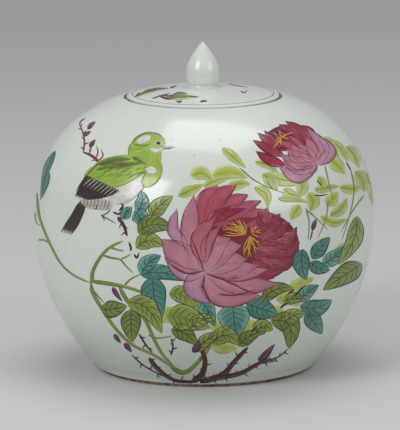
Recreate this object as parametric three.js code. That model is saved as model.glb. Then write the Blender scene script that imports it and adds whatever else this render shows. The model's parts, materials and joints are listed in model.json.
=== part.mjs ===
// Covered globular jar with a bud finial, thrown in glazed porcelain.
// Three pieces: the jar, its flanged lid, and the finial luted to the lid's crown.
// Millimetres, +Z up. The origin is the centre of the foot ring's resting face.
import * as THREE from 'three';

// Body curve: the widest girth, the shoulder above it and the flank below it
const bellyRadius = 145;
const bellyHeight = 128;
const shoulderRise = 112;
const shoulderPower = 2.4;
const flankDrop = 170.5;
const flankPower = 1.85;

// Jar wall, base and foot ring
const wallThickness = 6;
const baseThickness = 8;
const footRadius = 90;
const footWidth = 8;
const footRecess = 6;
const footBevelHeight = 2.5;
const footBevelDepth = 1.6;
const footBlendHeight = 3.5;

// Mouth: a flat ground rim that the lid rests on, over a thickened collar
const mouthRadius = 54;
const collarDepth = 10;
const rimRounding = 0.8;

// Lid: a shallow dome that carries on the shoulder's curve, with a locating flange
const lidRadius = 64.5;
const lidEdgeHeight = 1.7;
const lidEdgeRounding = 0.7;
const lidThickness = 5.5;
const flangeClearance = 1.5;
const flangeThickness = 5;
const flangeDepth = 13;
const lidToRimGroove = 2.2;

// Bud finial
const finialSeatRadius = 13;
const finialNeckRadius = 12.2;
const finialNeckHeight = 3;
const finialBudRadius = 14.2;
const finialBudHeight = 14;
const finialHeight = 39;
const finialTaperPower = 1.45;

const turns = 48;
const finialTurns = 32;
const shoulderSteps = 13;
const flankSteps = 10;
const domeSteps = 6;
const budSteps = 8;

const glaze = { colour: 0xd8dcd2, roughness: 0.12, metalness: 0 };

// Height of the outer curve above the girth at a given radius
function shoulderHeight(radius) {
  const share = 1 - (radius / bellyRadius) ** shoulderPower;
  return bellyHeight + shoulderRise * share ** (1 / shoulderPower);
}

// Radius of the wall at a given height, with the surface drawn in by an inset
function wallRadius(height, inset = 0) {
  const rise = height - bellyHeight;
  const power = rise > 0 ? shoulderPower : flankPower;
  const reach = rise > 0 ? shoulderRise : flankDrop;
  const share = 1 - (Math.abs(rise) / (reach - inset)) ** power;
  return (bellyRadius - inset) * Math.max(share, 0) ** (1 / power);
}

// Evenly turned steps between two values, with both ends
function steps(from, to, count) {
  return Array.from({ length: count + 1 }, (_, i) => from + ((to - from) * i) / count);
}

// Heights between two levels that crowd together towards the last one
function easedSteps(from, to, count) {
  return steps(0, Math.PI / 2, count).map((angle) => from + (to - from) * Math.sin(angle));
}

function turned(name, profile, segments, finish) {
  const points = profile.map(([radius, height]) => new THREE.Vector2(radius, height));
  const geometry = new THREE.LatheGeometry(points, segments);
  geometry.rotateX(Math.PI / 2);
  const material = new THREE.MeshStandardMaterial({
    color: finish.colour,
    roughness: finish.roughness,
    metalness: finish.metalness,
  });
  const mesh = new THREE.Mesh(geometry, material);
  mesh.name = name;
  return mesh;
}

// Levels that the jar, lid and finial share
const lidTopAtEdge = shoulderHeight(lidRadius);
const rimHeight = lidTopAtEdge - lidEdgeHeight;
const rimRadius = lidRadius + lidToRimGroove;
const crownHeight = shoulderHeight(finialSeatRadius);
const flangeRadius = mouthRadius - flangeClearance;
const flangeBore = flangeRadius - flangeThickness;

function jarBody() {
  const floorHeight = footRecess + baseThickness;
  const flankStart = footBevelHeight + footBlendHeight;
  const shoulderStart = rimRadius + rimRounding;
  const shoulderTop = shoulderHeight(shoulderStart);
  const collarHeight = rimHeight - collarDepth;
  const outside = [
    ...steps(flankStart, bellyHeight, flankSteps),
    ...easedSteps(bellyHeight, shoulderTop, shoulderSteps).slice(1, -1),
  ].map((height) => [wallRadius(height), height]);
  const inside = [
    ...easedSteps(bellyHeight, collarHeight, shoulderSteps - 2).reverse(),
    ...steps(bellyHeight, floorHeight, flankSteps - 2).slice(1),
  ].map((height) => [wallRadius(height, wallThickness), height]);
  return turned('jar_body', [
    [0, footRecess],
    [footRadius - footWidth, footRecess],
    [footRadius - footWidth, 0],
    [footRadius, 0],
    [footRadius + footBevelDepth, footBevelHeight],
    ...outside,
    [shoulderStart, shoulderTop],
    [rimRadius, rimHeight],
    [mouthRadius, rimHeight],
    [mouthRadius, collarHeight],
    ...inside,
    [0, floorHeight],
  ], turns, glaze);
}

function lid() {
  const domeTop = easedSteps(lidRadius - lidEdgeRounding, finialSeatRadius, domeSteps)
    .map((radius) => [radius, shoulderHeight(radius)]);
  const domeUnder = steps(0, flangeBore, domeSteps)
    .map((radius) => [radius, shoulderHeight(radius) - lidThickness]);
  const flangeFoot = rimHeight - flangeDepth;
  return turned('lid', [
    ...domeUnder,
    [flangeBore, flangeFoot],
    [flangeRadius, flangeFoot],
    [flangeRadius, rimHeight],
    [lidRadius - lidEdgeRounding, rimHeight],
    [lidRadius, rimHeight + lidEdgeRounding],
    [lidRadius, lidTopAtEdge - lidEdgeRounding],
    ...domeTop,
    [0, crownHeight],
  ], turns, glaze);
}

function lidFinial() {
  const tipRise = finialHeight - finialBudHeight;
  const swell = steps(0, Math.PI / 2, budSteps / 2).map((angle) => [
    finialNeckRadius + (finialBudRadius - finialNeckRadius) * Math.sin(angle),
    crownHeight + finialNeckHeight + (finialBudHeight - finialNeckHeight) * (1 - Math.cos(angle)),
  ]);
  const taper = steps(0, 1, budSteps).slice(1).map((share) => [
    finialBudRadius * (1 - share ** finialTaperPower),
    crownHeight + finialBudHeight + tipRise * share,
  ]);
  return turned('lid_finial', [
    [0, crownHeight],
    [finialSeatRadius, crownHeight],
    ...swell,
    ...taper,
  ], finialTurns, glaze);
}

const group = new THREE.Group();
group.add(jarBody(), lid(), lidFinial());

export default group;
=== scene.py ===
"""Covered globular porcelain jar, painted in overglaze enamels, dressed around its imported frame."""

import json
import logging
import math
from collections.abc import Callable
from dataclasses import dataclass, field
from enum import Enum

import bpy
from mathutils import Matrix, Vector
from mathutils.bvhtree import BVHTree

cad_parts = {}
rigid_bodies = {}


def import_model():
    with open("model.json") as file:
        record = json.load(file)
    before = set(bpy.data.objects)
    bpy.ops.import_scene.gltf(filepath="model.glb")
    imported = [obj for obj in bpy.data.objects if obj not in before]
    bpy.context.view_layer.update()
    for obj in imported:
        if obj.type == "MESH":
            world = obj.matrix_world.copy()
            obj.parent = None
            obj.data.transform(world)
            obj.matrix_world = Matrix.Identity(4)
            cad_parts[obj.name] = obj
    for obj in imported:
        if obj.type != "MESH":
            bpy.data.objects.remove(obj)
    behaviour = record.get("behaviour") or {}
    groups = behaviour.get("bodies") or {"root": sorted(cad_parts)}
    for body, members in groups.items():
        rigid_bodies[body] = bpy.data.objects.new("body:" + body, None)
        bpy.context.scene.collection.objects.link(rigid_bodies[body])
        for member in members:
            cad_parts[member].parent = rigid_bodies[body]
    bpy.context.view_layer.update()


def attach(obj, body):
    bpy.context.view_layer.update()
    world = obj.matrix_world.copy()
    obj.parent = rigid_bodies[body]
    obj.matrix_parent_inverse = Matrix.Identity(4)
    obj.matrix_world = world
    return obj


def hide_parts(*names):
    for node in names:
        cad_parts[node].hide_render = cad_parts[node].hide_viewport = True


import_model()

log = logging.getLogger("covered_jar")
MM = 0.001
Point = tuple[float, float]
Colour = tuple[float, float, float]
Feed = bpy.types.NodeSocket | Colour | float

# The jar's curve, as the frame has it
BELLY_RADIUS = 145 * MM
BELLY_HEIGHT = 128 * MM
SHOULDER_RISE = 112 * MM
SHOULDER_POWER = 2.4
FLANK_DROP = 170.5 * MM
FLANK_POWER = 1.85
LID_RADIUS = 64.5 * MM
LID_EDGE_HEIGHT = 1.7 * MM
RIM_GROOVE = 2.2 * MM
MOUTH_RADIUS = 54 * MM


def shoulder_height(radius: float) -> float:
    """Height of the outer curve at a radius above the girth."""
    share = 1 - (radius / BELLY_RADIUS) ** SHOULDER_POWER
    return BELLY_HEIGHT + SHOULDER_RISE * share ** (1 / SHOULDER_POWER)


def wall_radius(height: float, inset: float = 0.0) -> float:
    """Gives the radius of the wall at a height.

    Args:
        height: above the plane that the jar stands on.
        inset: how far the surface is drawn in, for the inside.

    Returns:
        The radius there.
    """
    rise = height - BELLY_HEIGHT
    power = SHOULDER_POWER if rise > 0 else FLANK_POWER
    reach = SHOULDER_RISE if rise > 0 else FLANK_DROP
    share = max(0.0, 1 - (abs(rise) / (reach - inset)) ** power)
    return (BELLY_RADIUS - inset) * share ** (1 / power)


RIM_HEIGHT = shoulder_height(LID_RADIUS) - LID_EDGE_HEIGHT


def spread(start: float, end: float, count: int, eased: bool = False) -> list[float]:
    """Gives steps from start to end, with both ends.

    Args:
        start: the first value.
        end: the last value.
        count: how many gaps lie between them.
        eased: whether the steps crowd towards the end.

    Returns:
        The values in order.
    """
    shares = [i / count for i in range(count + 1)]
    if eased:
        shares = [math.sin(share * math.pi / 2) for share in shares]
    return [start + (end - start) * share for share in shares]


def rounded(corner: Point, before: Point, after: Point, radius: float, count: int = 5) -> list[Point]:
    """Points of a soft corner between two straight stretches.

    Args:
        corner: the sharp corner, as radius and height.
        before: the point that the outline comes from.
        after: the point that it goes to.
        radius: how far back from the corner the round starts.
        count: steps along the round.

    Returns:
        The points that stand for the corner.
    """
    middle = Vector(corner)
    start = middle + (Vector(before) - middle).normalized() * radius
    end = middle + (Vector(after) - middle).normalized() * radius
    result = []
    for share in spread(0, 1, count):
        point = start * (1 - share) ** 2 + middle * 2 * share * (1 - share) + end * share ** 2
        result.append((point.x, point.y))
    return result


def deselect() -> None:
    """Leaves nothing selected, so that the next operator acts on its own piece alone."""
    if bpy.context.object and bpy.context.object.mode != "OBJECT":
        bpy.ops.object.mode_set(mode="OBJECT")
    bpy.ops.object.select_all(action="DESELECT")


def turn_piece(name: str, outline: list[Point], steps: int) -> bpy.types.Object:
    """Turns an outline about the vertical axis, as on a wheel.

    Args:
        name: the piece's name.
        outline: radius and height points from one point on the axis to another.
        steps: faces around.

    Returns:
        The closed, smooth piece with its normals outwards.
    """
    deselect()
    bpy.ops.mesh.primitive_plane_add(size=0.01, location=(0, 0, 0))
    piece = bpy.context.object
    piece.name = name
    bpy.ops.object.mode_set(mode="EDIT")
    bpy.ops.mesh.select_all(action="SELECT")
    bpy.ops.mesh.merge(type="CENTER")
    bpy.ops.transform.translate(value=(outline[0][0], 0, outline[0][1]))
    for (r0, z0), (r1, z1) in zip(outline, outline[1:]):
        bpy.ops.mesh.extrude_region_move(TRANSFORM_OT_translate={"value": (r1 - r0, 0, z1 - z0)})
    bpy.ops.mesh.select_all(action="SELECT")
    bpy.ops.mesh.spin(steps=steps, angle=2 * math.pi, center=(0, 0, 0), axis=(0, 0, 1))
    bpy.ops.mesh.select_all(action="SELECT")
    bpy.ops.mesh.remove_doubles(threshold=0.00001)
    bpy.ops.mesh.normals_make_consistent(inside=False)
    bpy.ops.object.mode_set(mode="OBJECT")
    bpy.ops.object.shade_smooth_by_angle(angle=math.radians(50))
    return piece


@dataclass(frozen=True)
class Nodes:
    """A thin helper over one node tree."""

    tree: bpy.types.NodeTree

    def add(self, kind: str, **settings: object) -> bpy.types.Node:
        """Adds a node and sets its properties.

        Args:
            kind: the node's type.
            settings: its properties by name.

        Returns:
            The new node.
        """
        node = self.tree.nodes.new(kind)
        for key, value in settings.items():
            setattr(node, key, value)
        return node

    def link(self, source: bpy.types.NodeSocket, target: bpy.types.NodeSocket) -> None:
        """Joins two sockets."""
        self.tree.links.new(source, target)

    def ramp(self, source: bpy.types.NodeSocket, stops: list[tuple[float, Colour]]) -> bpy.types.Node:
        """Adds a colour ramp fed by a socket.

        Args:
            source: the value that runs along the ramp.
            stops: places along the ramp with their colours.

        Returns:
            The ramp's node.
        """
        node = self.add("ShaderNodeValToRGB")
        self.link(source, node.inputs["Fac"])
        ramp = node.color_ramp
        ramp.elements[0].position, ramp.elements[1].position = stops[0][0], stops[-1][0]
        for position, _ in stops[1:-1]:
            ramp.elements.new(position)
        for element, (_, colour) in zip(ramp.elements, stops):
            element.color = (*colour, 1)
        return node

    def mix(self, amount: Feed, first: Feed, second: Feed, blend: str = "MIX") -> bpy.types.NodeSocket:
        """Mixes two colours, each a socket or a plain colour.

        Args:
            amount: the share of the second colour.
            first: the colour underneath.
            second: the colour laid over it.
            blend: how the two are mixed.

        Returns:
            The mixed colour's socket.
        """
        node = self.add("ShaderNodeMix", data_type="RGBA", blend_type=blend)
        sockets = (node.inputs[0], node.inputs[6], node.inputs[7])
        for value, socket in zip((amount, first, second), sockets):
            if isinstance(value, bpy.types.NodeSocket):
                self.link(value, socket)
            elif isinstance(value, tuple):
                socket.default_value = (*value, 1)
            else:
                socket.default_value = value
        return node.outputs[2]


def kiln_marks() -> bpy.types.NodeTree:
    """Builds the node group of marks that firing leaves in the glaze.

    Returns:
        The group, with pits, grit specks, throwing ripples and slow colour drift as its outputs.
    """
    tree = bpy.data.node_groups.new("kiln_marks", "ShaderNodeTree")
    tree.interface.new_socket("Speck scale", in_out="INPUT", socket_type="NodeSocketFloat")
    for name in ("Specks", "Pits", "Ripple", "Drift"):
        tree.interface.new_socket(name, in_out="OUTPUT", socket_type="NodeSocketFloat")
    nodes = Nodes(tree)
    source = nodes.add("NodeGroupInput")
    target = nodes.add("NodeGroupOutput")
    place = nodes.add("ShaderNodeTexCoord").outputs["Object"]

    def dots(scale: float, low: float, high: float, keep: float) -> bpy.types.NodeSocket:
        """Makes scattered round dots.

        Args:
            scale: how small the cells are.
            low: the share of a cell where a dot is solid.
            high: the share where it has faded out.
            keep: the share of cells that get no dot.

        Returns:
            The dots' socket.
        """
        cells = nodes.add("ShaderNodeTexVoronoi", feature="F1")
        size = nodes.add("ShaderNodeMath", operation="MULTIPLY")
        nodes.link(source.outputs[0], size.inputs[0])
        size.inputs[1].default_value = scale
        nodes.link(place, cells.inputs["Vector"])
        nodes.link(size.outputs[0], cells.inputs["Scale"])
        spot = nodes.add("ShaderNodeMapRange", clamp=True)
        nodes.link(cells.outputs["Distance"], spot.inputs["Value"])
        for index, value in zip((1, 2, 3, 4), (low, high, 1.0, 0.0)):
            spot.inputs[index].default_value = value
        pick = nodes.add("ShaderNodeMath", operation="GREATER_THAN")
        split = nodes.add("ShaderNodeSeparateColor")
        nodes.link(cells.outputs["Color"], split.inputs[0])
        nodes.link(split.outputs[0], pick.inputs[0])
        pick.inputs[1].default_value = keep
        both = nodes.add("ShaderNodeMath", operation="MULTIPLY")
        nodes.link(spot.outputs[0], both.inputs[0])
        nodes.link(pick.outputs[0], both.inputs[1])
        return both.outputs[0]

    nodes.link(dots(150, 0.04, 0.11, 0.86), target.inputs["Specks"])
    nodes.link(dots(320, 0.05, 0.16, 0.80), target.inputs["Pits"])
    stretch = nodes.add("ShaderNodeMapping")
    stretch.inputs["Scale"].default_value = (3, 3, 60)
    nodes.link(place, stretch.inputs["Vector"])
    ripple = nodes.add("ShaderNodeTexNoise")
    ripple.inputs["Scale"].default_value = 1.6
    ripple.inputs["Detail"].default_value = 2
    nodes.link(stretch.outputs[0], ripple.inputs["Vector"])
    nodes.link(ripple.outputs["Fac"], target.inputs["Ripple"])
    drift = nodes.add("ShaderNodeTexNoise")
    drift.inputs["Scale"].default_value = 14
    drift.inputs["Detail"].default_value = 4
    nodes.link(place, drift.inputs["Vector"])
    nodes.link(drift.outputs["Fac"], target.inputs["Drift"])
    return tree


def brush_marks() -> bpy.types.NodeTree:
    """Builds the node group of hairs and pooling that a loaded brush leaves along a stroke.

    Returns:
        The group, with fine streaks and broad pooling as its outputs.
    """
    tree = bpy.data.node_groups.new("brush_marks", "ShaderNodeTree")
    for name in ("Hairs", "Length"):
        tree.interface.new_socket(name, in_out="INPUT", socket_type="NodeSocketFloat")
    for name in ("Streaks", "Pooling"):
        tree.interface.new_socket(name, in_out="OUTPUT", socket_type="NodeSocketFloat")
    nodes = Nodes(tree)
    source = nodes.add("NodeGroupInput")
    target = nodes.add("NodeGroupOutput")
    along = nodes.add("ShaderNodeUVMap", uv_map="stroke").outputs[0]
    scale = nodes.add("ShaderNodeCombineXYZ")
    nodes.link(source.outputs["Length"], scale.inputs[0])
    nodes.link(source.outputs["Hairs"], scale.inputs[1])
    stretched = nodes.add("ShaderNodeVectorMath", operation="MULTIPLY")
    nodes.link(along, stretched.inputs[0])
    nodes.link(scale.outputs[0], stretched.inputs[1])
    hairs = nodes.add("ShaderNodeTexNoise")
    hairs.inputs["Scale"].default_value = 1
    hairs.inputs["Detail"].default_value = 3
    nodes.link(stretched.outputs[0], hairs.inputs["Vector"])
    nodes.link(hairs.outputs["Fac"], target.inputs["Streaks"])
    pooling = nodes.add("ShaderNodeTexNoise")
    pooling.inputs["Scale"].default_value = 130
    pooling.inputs["Detail"].default_value = 3
    nodes.link(nodes.add("ShaderNodeTexCoord").outputs["Object"], pooling.inputs["Vector"])
    nodes.link(pooling.outputs["Fac"], target.inputs["Pooling"])
    return tree


@dataclass(frozen=True)
class Glaze:
    """Pale greenish porcelain glaze with grit, pits and faint throwing rings, darkened towards the bottom
    as painted shade on the lower flank.
    """

    name: str = "celadon_white_glaze"
    # thin is the glaze's own colour; thick is a darker copy of it, used as painted shade on the lower flank
    thin: Colour = (0.665, 0.715, 0.665)
    thick: Colour = (0.56, 0.63, 0.57)
    grit: Colour = (0.16, 0.10, 0.06)

    def build(self) -> bpy.types.Material:
        """Builds the material."""
        material = bpy.data.materials.new(self.name)
        material.use_nodes = True
        nodes = Nodes(material.node_tree)
        shader = material.node_tree.nodes["Principled BSDF"]
        marks = nodes.add("ShaderNodeGroup", node_tree=bpy.data.node_groups["kiln_marks"])
        marks.inputs[0].default_value = 1.0
        height = nodes.add("ShaderNodeSeparateXYZ")
        nodes.link(nodes.add("ShaderNodeTexCoord").outputs["Object"], height.inputs[0])
        # painted shade: from 10 cm above the foot downwards the colour turns to the darker copy
        painted_low_shade = nodes.add("ShaderNodeMapRange", clamp=True)
        nodes.link(height.outputs[2], painted_low_shade.inputs["Value"])
        for index, value in zip((1, 2, 3, 4), (0.004, 0.10, 1.0, 0.0)):
            painted_low_shade.inputs[index].default_value = value
        base = nodes.mix(painted_low_shade.outputs[0], self.thin, self.thick)
        drift = nodes.ramp(marks.outputs["Drift"], [(0.3, (0.93, 0.93, 0.92)), (0.7, (1.0, 1.0, 1.0))])
        shaded = nodes.mix(1.0, base, drift.outputs[0], "MULTIPLY")
        gritty = nodes.mix(marks.outputs["Specks"], shaded, self.grit)
        nodes.link(gritty, shader.inputs["Base Color"])
        rough = nodes.add("ShaderNodeMapRange", clamp=True)
        nodes.link(marks.outputs["Drift"], rough.inputs["Value"])
        for index, value in zip((1, 2, 3, 4), (0.3, 0.7, 0.15, 0.26)):
            rough.inputs[index].default_value = value
        nodes.link(rough.outputs[0], shader.inputs["Roughness"])
        dents = nodes.add("ShaderNodeBump")
        dents.inputs["Strength"].default_value = 0.25
        dents.inputs["Distance"].default_value = 0.0004
        dents.invert = True
        nodes.link(marks.outputs["Pits"], dents.inputs["Height"])
        rings = nodes.add("ShaderNodeBump")
        rings.inputs["Strength"].default_value = 0.25
        rings.inputs["Distance"].default_value = 0.0007
        nodes.link(marks.outputs["Ripple"], rings.inputs["Height"])
        nodes.link(dents.outputs[0], rings.inputs["Normal"])
        nodes.link(rings.outputs[0], shader.inputs["Normal"])
        shader.inputs["Coat Weight"].default_value = 0.25
        shader.inputs["Coat Roughness"].default_value = 0.14
        return material


@dataclass(frozen=True)
class Biscuit:
    """Bare fired clay where the glaze was wiped off: foot ring, rim and lid edge."""

    name: str = "bare_biscuit"
    pale: Colour = (0.36, 0.27, 0.18)
    burnt: Colour = (0.10, 0.045, 0.025)

    def build(self) -> bpy.types.Material:
        """Builds the material."""
        material = bpy.data.materials.new(self.name)
        material.use_nodes = True
        nodes = Nodes(material.node_tree)
        shader = material.node_tree.nodes["Principled BSDF"]
        grain = nodes.add("ShaderNodeTexNoise")
        grain.inputs["Scale"].default_value = 260
        grain.inputs["Detail"].default_value = 5
        nodes.link(nodes.add("ShaderNodeTexCoord").outputs["Object"], grain.inputs["Vector"])
        tint = nodes.ramp(grain.outputs["Fac"], [(0.35, self.burnt), (0.65, self.pale)])
        nodes.link(tint.outputs[0], shader.inputs["Base Color"])
        shader.inputs["Roughness"].default_value = 0.85
        bump = nodes.add("ShaderNodeBump")
        bump.inputs["Strength"].default_value = 0.4
        bump.inputs["Distance"].default_value = 0.0003
        nodes.link(grain.outputs["Fac"], bump.inputs["Height"])
        nodes.link(bump.outputs[0], shader.inputs["Normal"])
        return material


@dataclass(frozen=True)
class Enamel:
    """Overglaze enamel laid with a brush: its pigment attribute, broken by hairs and pooling."""

    name: str = "overglaze_enamel"

    def build(self) -> bpy.types.Material:
        """Builds the material."""
        material = bpy.data.materials.new(self.name)
        material.use_nodes = True
        nodes = Nodes(material.node_tree)
        shader = material.node_tree.nodes["Principled BSDF"]
        pigment = nodes.add("ShaderNodeVertexColor", layer_name="pigment")
        marks = nodes.add("ShaderNodeGroup", node_tree=bpy.data.node_groups["brush_marks"])
        marks.inputs["Hairs"].default_value = 26.0
        marks.inputs["Length"].default_value = 2.2
        dry, wet = (0.68, 0.66, 0.66), (1.0, 1.0, 1.0)
        streak = nodes.ramp(marks.outputs["Streaks"], [(0.32, dry), (0.62, wet)])
        brushed = nodes.mix(0.75, pigment.outputs[0], streak.outputs[0], "MULTIPLY")
        thin, thick = (0.80, 0.80, 0.80), (1.08, 1.08, 1.08)
        pool = nodes.ramp(marks.outputs["Pooling"], [(0.3, thin), (0.7, thick)])
        nodes.link(nodes.mix(0.7, brushed, pool.outputs[0], "MULTIPLY"), shader.inputs["Base Color"])
        shader.inputs["Roughness"].default_value = 0.22
        shader.inputs["Coat Weight"].default_value = 0.2
        bump = nodes.add("ShaderNodeBump")
        bump.inputs["Strength"].default_value = 0.3
        bump.inputs["Distance"].default_value = 0.0002
        nodes.link(marks.outputs["Streaks"], bump.inputs["Height"])
        nodes.link(bump.outputs[0], shader.inputs["Normal"])
        return material


def finish(name: str) -> bpy.types.Material:
    """Gives a built finish by its name."""
    return bpy.data.materials[name]


def dress_by_face(piece: bpy.types.Object, bare: Callable[[float, float], bool]) -> None:
    """Gives a piece its glaze, and bare clay on the faces that the test picks.

    Args:
        piece: the piece to dress.
        bare: tells from a face's radius and height whether its glaze was wiped off.
    """
    piece.data.materials.clear()
    piece.data.materials.append(finish(Glaze.name))
    piece.data.materials.append(finish(Biscuit.name))
    for face in piece.data.polygons:
        radius = math.hypot(face.center.x, face.center.y)
        face.material_index = 1 if bare(radius, face.center.z) else 0


@dataclass
class Jar:
    """The thrown body with its foot ring, collar and flat rim."""

    foot_radius: float = 90 * MM
    foot_width: float = 8 * MM
    foot_recess: float = 6 * MM
    glaze_edge: float = 2.5 * MM
    wall: float = 6 * MM
    base: float = 8 * MM
    collar: float = 10 * MM
    steps: int = 224

    def outline(self) -> list[Point]:
        """Gives the closed half section, from the foot recess round to the inner floor."""
        inner_foot = self.foot_radius - self.foot_width
        rim = LID_RADIUS + RIM_GROOVE
        lip = (rim + 0.8 * MM, shoulder_height(rim + 0.8 * MM))
        flank_start = 6 * MM
        outside = [(wall_radius(z), z) for z in spread(flank_start, BELLY_HEIGHT, 34)]
        outside += [(wall_radius(z), z) for z in spread(BELLY_HEIGHT, lip[1], 46, True)[1:-1]]
        floor = self.foot_recess + self.base
        under = RIM_HEIGHT - self.collar
        inside = [(wall_radius(z, self.wall), z) for z in spread(BELLY_HEIGHT, under, 24, True)][::-1]
        inside += [(wall_radius(z, self.wall), z) for z in spread(BELLY_HEIGHT, floor, 20)[1:]]
        recess, tread = (inner_foot, self.foot_recess), (inner_foot, 0.0)
        edge, skirt = (self.foot_radius, 0.0), (self.foot_radius + 1.6 * MM, self.glaze_edge)
        foot = [*rounded(recess, (0, self.foot_recess), tread, 1.5 * MM)]
        foot += rounded(tread, recess, edge, 0.9 * MM) + rounded(edge, tread, skirt, 0.9 * MM)
        step = [(skirt[0] + 0.2 * MM, skirt[1] + 0.05 * MM), (skirt[0] + 1.3 * MM, skirt[1] + 0.5 * MM)]
        step += [(skirt[0] + 2.0 * MM, skirt[1] + 1.6 * MM), (skirt[0] + 2.1 * MM, skirt[1] + 2.5 * MM)]
        seat, mouth = (rim, RIM_HEIGHT), (MOUTH_RADIUS, RIM_HEIGHT)
        neck = rounded(mouth, seat, (MOUTH_RADIUS, under), 1.0 * MM)
        neck += rounded((MOUTH_RADIUS, under), mouth, inside[0], 1.5 * MM)
        shell = [*foot, skirt, *step, *outside[1:], lip, *rounded(seat, lip, mouth, 0.5 * MM)]
        return [(0, self.foot_recess), *shell, *neck, *inside[1:], (0, floor)]

    def build(self) -> bpy.types.Object:
        """Turns and dresses the body, and lets it stand for its frame node."""
        piece = turn_piece("porcelain_jar", self.outline(), self.steps)
        edge = self.glaze_edge + 0.02 * MM
        lip = LID_RADIUS + RIM_GROOVE + 0.5 * MM

        def bare(radius: float, height: float) -> bool:
            """Picks the foot ring and the ground rim."""
            ring = height < edge and radius > self.foot_radius - self.foot_width - 1 * MM
            level = RIM_HEIGHT - 0.6 * MM < height < RIM_HEIGHT + 1 * MM
            seat = level and MOUTH_RADIUS - 1 * MM < radius < lip
            return ring or seat

        dress_by_face(piece, bare)
        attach(piece, "jar")
        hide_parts("jar_body")
        log.info("jar body: %d faces", len(piece.data.polygons))
        return piece


@dataclass
class Cover:
    """The lid's disc and flange with its bud finial, glazed as one."""

    finial_seat: float = 13 * MM
    neck: float = 12.2 * MM
    neck_height: float = 3 * MM
    bud: float = 14.2 * MM
    bud_height: float = 14 * MM
    height: float = 39 * MM
    flange: float = 52.5 * MM
    flange_bore: float = 47.5 * MM
    flange_depth: float = 13 * MM
    thickness: float = 5.5 * MM
    steps: int = 160

    def outline(self) -> list[Point]:
        """Gives the closed half section, from under the dome round to the finial's tip."""
        crown = shoulder_height(self.finial_seat)
        foot = RIM_HEIGHT - self.flange_depth
        bore = spread(0, self.flange_bore - 1.5 * MM, 14)
        under = [(r, shoulder_height(r) - self.thickness) for r in bore]
        edge_low, edge_top = (LID_RADIUS, RIM_HEIGHT), (LID_RADIUS, shoulder_height(LID_RADIUS))
        foot_in, foot_out = (self.flange_bore, foot), (self.flange, foot)
        flange = rounded(foot_in, (self.flange_bore, RIM_HEIGHT), foot_out, 1.5 * MM)
        flange += rounded(foot_out, foot_in, (self.flange, RIM_HEIGHT), 1.5 * MM)
        seat = [(self.flange, RIM_HEIGHT)]
        seat += rounded(edge_low, seat[0], edge_top, 0.5 * MM)
        slope = spread(LID_RADIUS - 0.8 * MM, self.finial_seat + 2.5 * MM, 26)
        dome = [(r, shoulder_height(r)) for r in slope]
        seat += rounded(edge_top, edge_low, dome[0], 0.5 * MM)
        flare = [
            (self.finial_seat + 1.2 * MM, crown + 0.15 * MM),
            (self.finial_seat + 0.3 * MM, crown + 0.6 * MM),
        ]
        flare += [(self.neck + 0.1 * MM, crown + 1.6 * MM), (self.neck, crown + self.neck_height)]
        swell = []
        for angle in spread(0, math.pi / 2, 12)[1:]:
            rise = self.neck_height + (self.bud_height - self.neck_height) * (1 - math.cos(angle))
            swell.append((self.neck + (self.bud - self.neck) * math.sin(angle), crown + rise))
        taper = []
        for share in spread(0, 0.985, 24)[1:]:
            rise = self.bud_height + (self.height - self.bud_height) * share
            taper.append((self.bud * (1 - share ** 1.62) ** 0.97, crown + rise))
        tip = (0, crown + self.height - 0.1 * MM)
        return [*under, *flange, *seat, *dome[1:], *flare, *swell, *taper, tip]

    def build(self) -> bpy.types.Object:
        """Turns and dresses the lid, and lets it stand for its two frame nodes."""
        piece = turn_piece("domed_lid", self.outline(), self.steps)
        low, high = RIM_HEIGHT - 0.2 * MM, RIM_HEIGHT + 0.6 * MM
        dress_by_face(piece, lambda radius, height: low < height < high and radius > self.flange - 1 * MM)
        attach(piece, "cover")
        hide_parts("lid", "lid_finial")
        log.info("lid with finial: %d faces", len(piece.data.polygons))
        return piece


@dataclass(frozen=True)
class View:
    """The photograph's view of the jar, in pixels of its 400 by 430 frame."""

    target: Vector = Vector((-3.24 * MM, 0, 129.6 * MM))
    distance: float = 4.3157
    pitch: float = math.radians(10.57)
    roll: float = math.radians(-0.38)
    focal: float = 5078.8
    width: int = 400
    height: int = 430
    sensor: float = 36.0

    def eye(self) -> Vector:
        """Gives the place that the jar is seen from."""
        return self.target + Vector((0, -math.cos(self.pitch), math.sin(self.pitch))) * self.distance

    def turn(self) -> Matrix:
        """Gives the turn of the view: across, up and back."""
        back = (self.eye() - self.target).normalized()
        across = Vector((0, 0, 1)).cross(back).normalized()
        up = back.cross(across)
        return Matrix((across, up, back)).transposed() @ Matrix.Rotation(self.roll, 3, "Z")

    def ray(self, x: float, y: float) -> Vector:
        """Gives the direction through a pixel."""
        side = (x - self.width / 2) / self.focal
        rise = (self.height / 2 - y) / self.focal
        return (self.turn() @ Vector((side, rise, -1))).normalized()

    def camera(self) -> bpy.types.Object:
        """Sets the scene's camera."""
        data = bpy.data.cameras.new("studio_camera")
        data.lens = self.focal * self.sensor / self.height
        data.sensor_width = self.sensor
        data.clip_end = 50
        body = bpy.data.objects.new("studio_camera", data)
        bpy.context.collection.objects.link(body)
        body.matrix_world = Matrix.Translation(self.eye()) @ self.turn().to_4x4()
        bpy.context.scene.camera = body
        return body


def tint(code: int) -> Colour:
    """Turns a mixed colour, written as red, green and blue bytes, into linear light."""
    shares = [((code >> shift) & 255) / 255 for shift in (16, 8, 0)]
    return tuple(s / 12.92 if s <= 0.04045 else ((s + 0.055) / 1.055) ** 2.4 for s in shares)


@dataclass(frozen=True)
class Paint:
    """A load of enamel: its colour where the brush lands, where it lifts, and along its edges."""

    root: Colour
    tip: Colour
    edge: Colour
    rim: float = 3.0

    @classmethod
    def of(cls, root: int, tip: int, edge: int, rim: float = 3.0) -> "Paint":
        """Mixes a load from three written colours."""
        return cls(tint(root), tint(tip), tint(edge), rim)


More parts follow.
